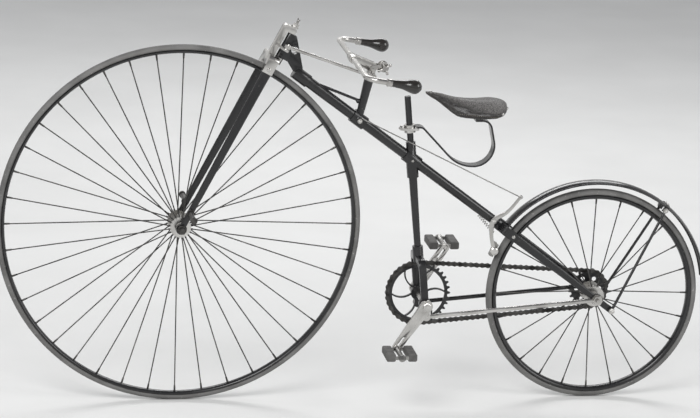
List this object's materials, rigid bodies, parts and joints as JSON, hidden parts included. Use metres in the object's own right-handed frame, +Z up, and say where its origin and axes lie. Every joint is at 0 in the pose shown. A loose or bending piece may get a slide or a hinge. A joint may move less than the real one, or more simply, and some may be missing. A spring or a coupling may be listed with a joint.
{
  "type": "penny farthing type bicycle with chain drive",
  "caption": "Early bicycle with a large steered front wheel and a small chain-driven rear wheel, on a straight sloping backbone with a sprung saddle and rod steering.",
  "frame": {"origin": "rider's place: middle of the saddle's top", "axes": "+X to the rear, +Y to the rider's right, +Z up"},
  "size_m": [2.0146, 0.59, 1.089],
  "materials": {
    "enamel": "gloss",
    "bright": "polished",
    "steel": "satin",
    "chain": "satin",
    "tyre": "matte",
    "rubber": "matte",
    "leather": "satin",
    "horn": "gloss"
  },
  "bodies": {
    "frame": {"backbone": "enamel", "neck": "bright", "steering_pillar": "enamel", "pillar_stay": "enamel", "seat_post": "enamel", "down_post": "enamel", "post_lug": "enamel", "saddle_clamp": "bright", "saddle_spring": "enamel", "saddle_frame": "enamel", "saddle": "leather", "crank_yoke": "enamel", "rear_fork_crown": "enamel", "rear_fork_left": "enamel", "rear_fork_right": "enamel", "chain_stay_left": "bright", "chain_stay_right": "enamel", "mudguard": "enamel", "mudguard_stays": "enamel", "rear_axle": "bright", "chain_upper_run": "chain", "chain_lower_run": "chain", "chain_front_bend": "chain", "chain_rear_bend": "chain", "brake_lever": "enamel", "brake_shoe": "steel", "brake_spring": "steel", "brake_rod": "steel", "brake_pulley": "steel"},
    "fork": {"fork_head": "bright", "fork_blade_left": "enamel", "fork_blade_right": "enamel", "front_axle": "bright", "head_cap": "bright", "foot_rests": "bright"},
    "handlebar": {"handlebar_stem": "bright", "handlebar": "bright", "grip_left": "horn", "grip_right": "horn", "brake_winder": "bright"},
    "steering_rod": {"steering_rod": "bright"},
    "front_wheel": {"front_tyre": "tyre", "front_rim": "enamel", "front_spokes": "steel", "front_hub": "bright"},
    "rear_wheel": {"rear_tyre": "tyre", "rear_rim": "enamel", "rear_spokes": "steel", "rear_hub": "bright", "rear_sprocket": "enamel"},
    "crank": {"crank_axle": "bright", "chainwheel": "enamel", "crank_left": "bright", "crank_right": "bright"},
    "pedal_left": {"pedal_left": "bright", "pedal_left_rubbers": "rubber"},
    "pedal_right": {"pedal_right": "bright", "pedal_right_rubbers": "rubber"}
  },
  "joints": [
    {"name": "steering", "type": "hinge", "parent": "frame", "child": "fork", "pos_m": [-0.5379, 0, 0.11375], "axis": [0.454, 0, 0.891], "range_deg": [-35, 35]},
    {"name": "handlebar_turn", "type": "hinge", "parent": "frame", "child": "handlebar", "pos_m": [-0.28268, 0, 0.0553], "axis": [0.213, 0, 0.977], "range_deg": [-36, 36]},
    {"name": "rod_swing", "type": "hinge", "parent": "handlebar", "child": "steering_rod", "pos_m": [-0.27985, -0.045, 0.06829], "axis": [0.2129, 0.0333, 0.9765], "range_deg": [-36, 36]},
    {"name": "front_wheel_turn", "type": "hinge", "parent": "fork", "child": "front_wheel", "pos_m": [-0.8, 0, -0.361], "axis": [0, 1, 0], "continuous": true},
    {"name": "rear_wheel_turn", "type": "hinge", "parent": "frame", "child": "rear_wheel", "pos_m": [0.38, 0, -0.5642], "axis": [0, 1, 0], "continuous": true},
    {"name": "crank_turn", "type": "hinge", "parent": "frame", "child": "crank", "pos_m": [-0.11, 0, -0.575], "axis": [0, 1, 0], "continuous": true},
    {"name": "pedal_left_turn", "type": "hinge", "parent": "crank", "child": "pedal_left", "pos_m": [-0.19108, -0.107, -0.69521], "axis": [0, 1, 0], "continuous": true},
    {"name": "pedal_right_turn", "type": "hinge", "parent": "crank", "child": "pedal_right", "pos_m": [-0.02892, 0.107, -0.45479], "axis": [0, 1, 0], "continuous": true}
  ],
  "couplings": [
    {"joint": "handlebar_turn", "follows": "steering", "ratio": 1},
    {"joint": "rod_swing", "follows": "steering", "ratio": -1},
    {"joint": "crank_turn", "follows": "rear_wheel_turn", "ratio": 0.6}
  ]
}
